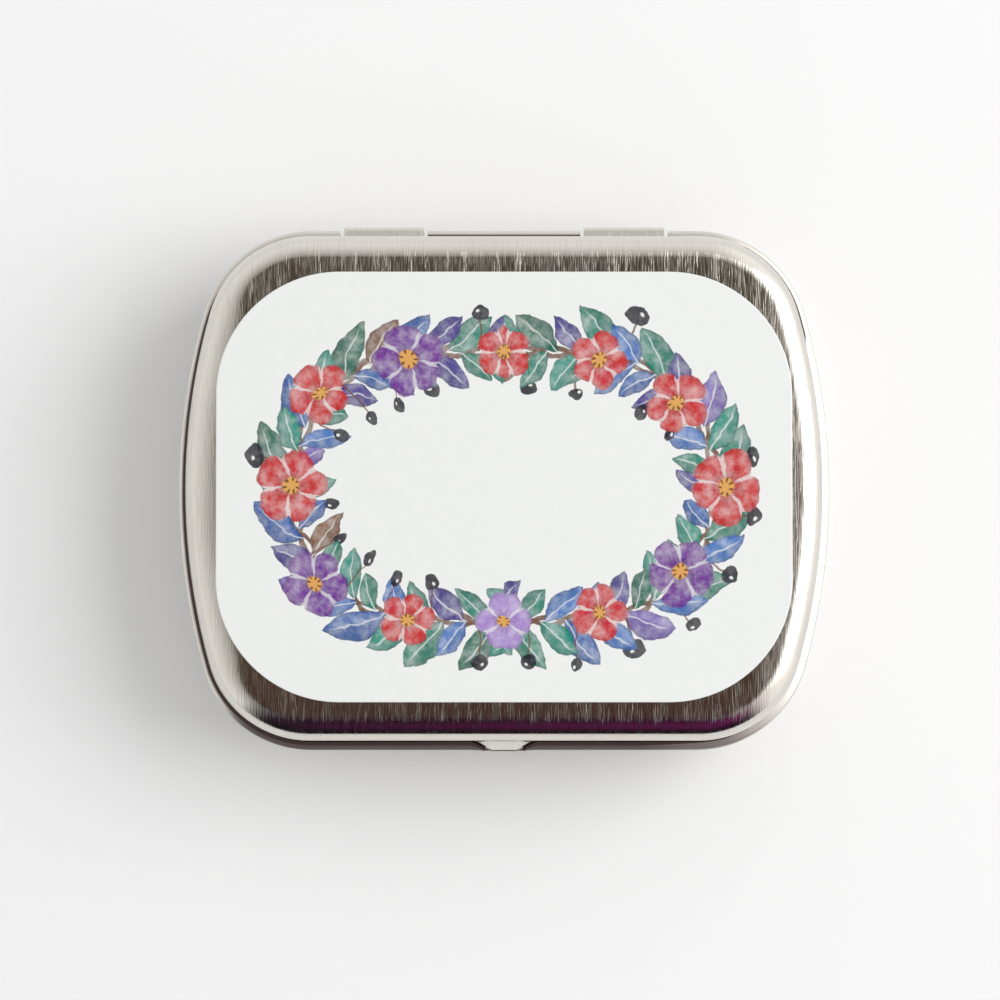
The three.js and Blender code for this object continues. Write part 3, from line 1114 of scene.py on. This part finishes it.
def garland_lines(shade):
    """Distance along the twig, distance outside it, and which half, all in millimetres."""
    place = shade.add("TexCoord", {}, output="Object")
    x = place.part(0) / MM
    y = place.part(1) / MM
    sway = noise_at(x * SWAYS_PER_MM, y * SWAYS_PER_MM, detail=3.0)
    x = x + (sway - 0.5) * SWAY
    sway = noise_at(x * SWAYS_PER_MM + SWAY_SHIFT, y * SWAYS_PER_MM, detail=3.0)
    y = y + (sway - 0.5) * SWAY
    fold = abs(x)
    straight = fold.math("MINIMUM", HALF_STRAIGHT)
    bow = fold - straight
    radius = (bow * bow + y * y).math("SQRT")
    turn = bow.math("ARCTAN2", y * -1)
    upper = y.math("GREATER_THAN", 0)
    along = straight + turn * TURN_RADIUS + upper * (2 * HALF_STRAIGHT - straight * 2)
    half = x.math("GREATER_THAN", 0)
    return along, radius - TURN_RADIUS, half


print("each twig is", round(TWIG_LENGTH, 1), "mm long")

# %% Water colour
PAPER = paint(243, 244, 242)
PAPER_SHADE = paint(240, 242, 240)
DRIED_EDGE = (0.012, 0.008, 0.025, 1)
HALF_KEY = 53.0


def drawn_lot(index, half, seed):
    """Three numbers from 0 to 1, drawn for one motif."""
    key = index + half * HALF_KEY + seed
    lot = key.add("TexWhiteNoise", {"W": key}, {"noise_dimensions": "1D"}, output="Color")
    return [lot.part(axis) for axis in range(3)]


def water_colour(canvas, colour, mask, edge, wash, thinning=0.42):
    """Lay a wash of colour on the canvas: uneven inside, darker where it dried at its edge."""
    thin = (wash.ramp(0.3, 0.8) * thinning).mix(colour, PAPER)
    dark = (edge * 0.55).mix(thin, DRIED_EDGE)
    return (mask * 0.95).mix(canvas, dark)


print("water colours are ready")

# %% Leaves
LEAF_GREENS = [
    (0, paint(0, 128, 106)),
    (0.35, paint(38, 92, 168)),
    (0.6, paint(14, 104, 82)),
    (0.82, paint(120, 96, 178)),
]
LEAF_BLUES = [
    (0, paint(62, 44, 140)),
    (0.3, paint(0, 142, 122)),
    (0.62, paint(52, 112, 190)),
    (0.86, paint(132, 86, 52)),
]
LEAF_COUNT = 10
LEAF_SLANT = math.radians(48)
LEAF_TURN = 0.35
LEAF_SET_BACK = 0.42
LEAF_SHORTEST = 0.86
LEAF_SPREAD = 0.22


def leaves(canvas, lines, wash, side, phase, length, width, colours, seed):
    """One row of pointed leaves along one side of the twig."""
    along, outside, half = lines
    pitch = TWIG_LENGTH / LEAF_COUNT
    step = along / pitch + phase
    index = step.math("FLOOR")
    first, second, third = drawn_lot(index, half, seed)
    slant = LEAF_SLANT + (second - 0.5) * LEAF_TURN
    cosine = slant.math("COSINE")
    sine = slant.math("SINE")
    ahead = (step - index - 0.5) * pitch + LEAF_SET_BACK * length
    off = outside * side
    own_length = length * LEAF_SHORTEST + third * length * LEAF_SPREAD
    reach = (ahead * cosine + off * sine) / own_length
    sideways = off * cosine - ahead * sine
    rim = abs(sideways) - reach * (1 - reach) * (4 * width)
    mask = rim.ramp(0.05, -0.05)
    rib = abs(sideways).ramp(0.1, 0.04) * reach.ramp(0.95, 0.7)
    shaded = sideways.ramp(-0.3, 0.3) * 0.35 + rim.ramp(-0.3, 0.02) * 0.6
    colour = first.add("ValToRGB", {0: first}, {"steps": colours})
    painted = water_colour(canvas, colour, mask, shaded, wash)
    return (rib * mask * 0.55).mix(painted, PAPER)


print("leaves stand", round(TWIG_LENGTH / LEAF_COUNT, 1), "mm apart")

# %% Blossoms
PETALS = [
    (0, paint(206, 34, 36)),
    (0.4, paint(112, 40, 150)),
    (0.62, paint(226, 62, 50)),
    (0.82, paint(166, 128, 206)),
]
HEART = paint(226, 168, 92)
HEART_SEEDS = paint(92, 44, 30)
BLOSSOM_COUNT = 6
BLOSSOM_SIZE = 2.5
BLOSSOM_SPREAD = 0.9
BLOSSOM_SCATTER = 2.4
BLOSSOM_TURN = 6.0
PETAL_COUNT = 5
SEED_COUNT = 7


def one_blossom(canvas, wash, distance, angle, colour):
    """Petals with pale gaps and dark veins round a yellow heart with seeds."""
    petal = abs((angle * (PETAL_COUNT / 2)).math("COSINE"))
    rim = distance - 0.7 - petal.math("POWER", 0.55) * 0.3
    mask = rim.ramp(0.02, -0.02)
    gap = petal.ramp(0.34, 0.12) * distance.ramp(0.15, 0.4)
    vein = (angle * (2 * PETAL_COUNT)).math("COSINE").ramp(0.5, 1.0) * distance.ramp(0.75, 0.3)
    shaded = rim.ramp(-0.2, 0.01) * 0.45 + vein * 0.3 + distance.ramp(0.55, 0.1) * 0.5
    painted = water_colour(canvas, colour, mask, shaded, wash)
    painted = (gap * mask * 0.6).mix(painted, PAPER)
    heart = distance.ramp(0.27, 0.21)
    painted = heart.mix(painted, HEART)
    seeds = (angle * SEED_COUNT).math("COSINE").ramp(0.2, 0.7) * heart * distance.ramp(0.1, 0.16)
    return (seeds * 0.85).mix(painted, HEART_SEEDS)


def blossoms(canvas, lines, wash, seed):
    """Blossoms along the twig, with one at each end of it."""
    along, outside, half = lines
    pitch = TWIG_LENGTH / BLOSSOM_COUNT
    step = along / pitch + 0.5
    index = step.math("FLOOR")
    inner = (index * (BLOSSOM_COUNT - index)).math("MINIMUM", 1.0)
    first, second, third = drawn_lot(index, half * inner, seed)
    here = (step - index - 0.5) * pitch
    off = outside + (second - 0.5) * BLOSSOM_SCATTER * inner
    size = BLOSSOM_SIZE + third * BLOSSOM_SPREAD
    distance = (here * here + off * off).math("SQRT") / size
    angle = off.math("ARCTAN2", here) + second * BLOSSOM_TURN * inner
    colour = first.add("ValToRGB", {0: first}, {"steps": PETALS})
    return one_blossom(canvas, wash, distance, angle, colour)


print("blossoms of", PETAL_COUNT, "petals are ready")

# %% Berries
INK_BROWN = paint(116, 74, 48)
BERRY_DARK = paint(22, 18, 38)
BERRY_COUNT = 12
BERRY_SIZE = 0.55
BERRY_SPREAD = 0.3
BERRY_REACH = 3.0
BERRY_SCATTER = 1.4
GLINT_SHIFT = 0.2


def berries(canvas, lines, wash, seed):
    """Small dark berries with a highlight, on short stalks beside the twig."""
    along, outside, half = lines
    pitch = TWIG_LENGTH / BERRY_COUNT
    step = along / pitch
    index = step.math("FLOOR")
    first, second, third = drawn_lot(index, half, seed)
    here = (step - index - 0.5) * pitch
    side = first.math("GREATER_THAN", 0.5) * 2 - 1
    off = outside * side - BERRY_REACH - second * BERRY_SCATTER
    size = BERRY_SIZE + third * BERRY_SPREAD
    stalk = abs(here).ramp(0.11, 0.05) * off.ramp(0.1, -0.1) * (outside * side).ramp(0.0, 0.1)
    canvas = (stalk * 0.8).mix(canvas, INK_BROWN)
    distance = (here * here + off * off).math("SQRT") - size
    mask = distance.ramp(0.04, -0.04)
    canvas = water_colour(canvas, BERRY_DARK, mask, wash * 0.2, wash, thinning=0.12)
    glint_here = here + GLINT_SHIFT
    glint_off = off * side - GLINT_SHIFT
    glint = (glint_here * glint_here + glint_off * glint_off).math("SQRT").ramp(0.2, 0.1)
    return (glint * 0.9).mix(canvas, PAPER)


print("berries stand", round(TWIG_LENGTH / BERRY_COUNT, 1), "mm apart")

# %% Finish of the printed plate
WASH_SIZE = 1.3 * MM
GRAIN_SIZE = 0.12 * MM
PEEL_DEPTH = 0.002 * MM
TWIST = 0.42
TWISTS_PER_MM = 1.15


def twigs(canvas, lines, wash):
    """Two strands that twine round each other along the twig's line."""
    along, outside = lines[:2]
    twist = (along * TWISTS_PER_MM).math("SINE") * TWIST
    for strand in (1, -1):
        line = abs(outside + twist * strand).ramp(0.3, 0.18)
        canvas = water_colour(canvas, INK_BROWN, line, wash * 0.4, wash)
    return canvas


def garland(canvas, lines, wash):
    """The whole garland, from what lies under to what lies on top."""
    canvas = twigs(canvas, lines, wash)
    canvas = leaves(canvas, lines, wash, 1, 0.0, length=5.6, width=1.25, colours=LEAF_GREENS, seed=3.0)
    canvas = leaves(canvas, lines, wash, -1, 0.4, length=5.0, width=1.1, colours=LEAF_BLUES, seed=11.0)
    canvas = berries(canvas, lines, wash, seed=19.0)
    canvas = leaves(canvas, lines, wash, 1, 0.5, length=4.6, width=1.0, colours=LEAF_BLUES, seed=29.0)
    canvas = leaves(canvas, lines, wash, -1, 0.9, length=4.2, width=0.95, colours=LEAF_GREENS, seed=37.0)
    return blossoms(canvas, lines, wash, seed=43.0)


def printed_coat():
    material, shade, shader = new_material("printed coat")
    place = shade.add("TexCoord", {}, output="Object")
    x = place.part(0)
    y = place.part(1)
    wash = noise_at(x / WASH_SIZE, y / WASH_SIZE, detail=5.0, roughness=0.65)
    canvas = wash.ramp(0.2, 0.8).mix(PAPER, PAPER_SHADE)
    canvas = garland(canvas, garland_lines(shade), wash)
    grain = noise_at(x / GRAIN_SIZE, y / GRAIN_SIZE, detail=2.0)
    peel = shade.add("Bump", {"Height": grain, "Distance": PEEL_DEPTH, "Strength": 0.5})
    feed(shader, shade, Base_Color=canvas, Roughness=0.36 + grain * 0.12, Normal=peel)
    feed(shader, shade, Specular_IOR_Level=0.35)
    return material


coat = printed_coat()
plate.data.materials.append(coat)
print("print has", len(coat.node_tree.nodes), "nodes")
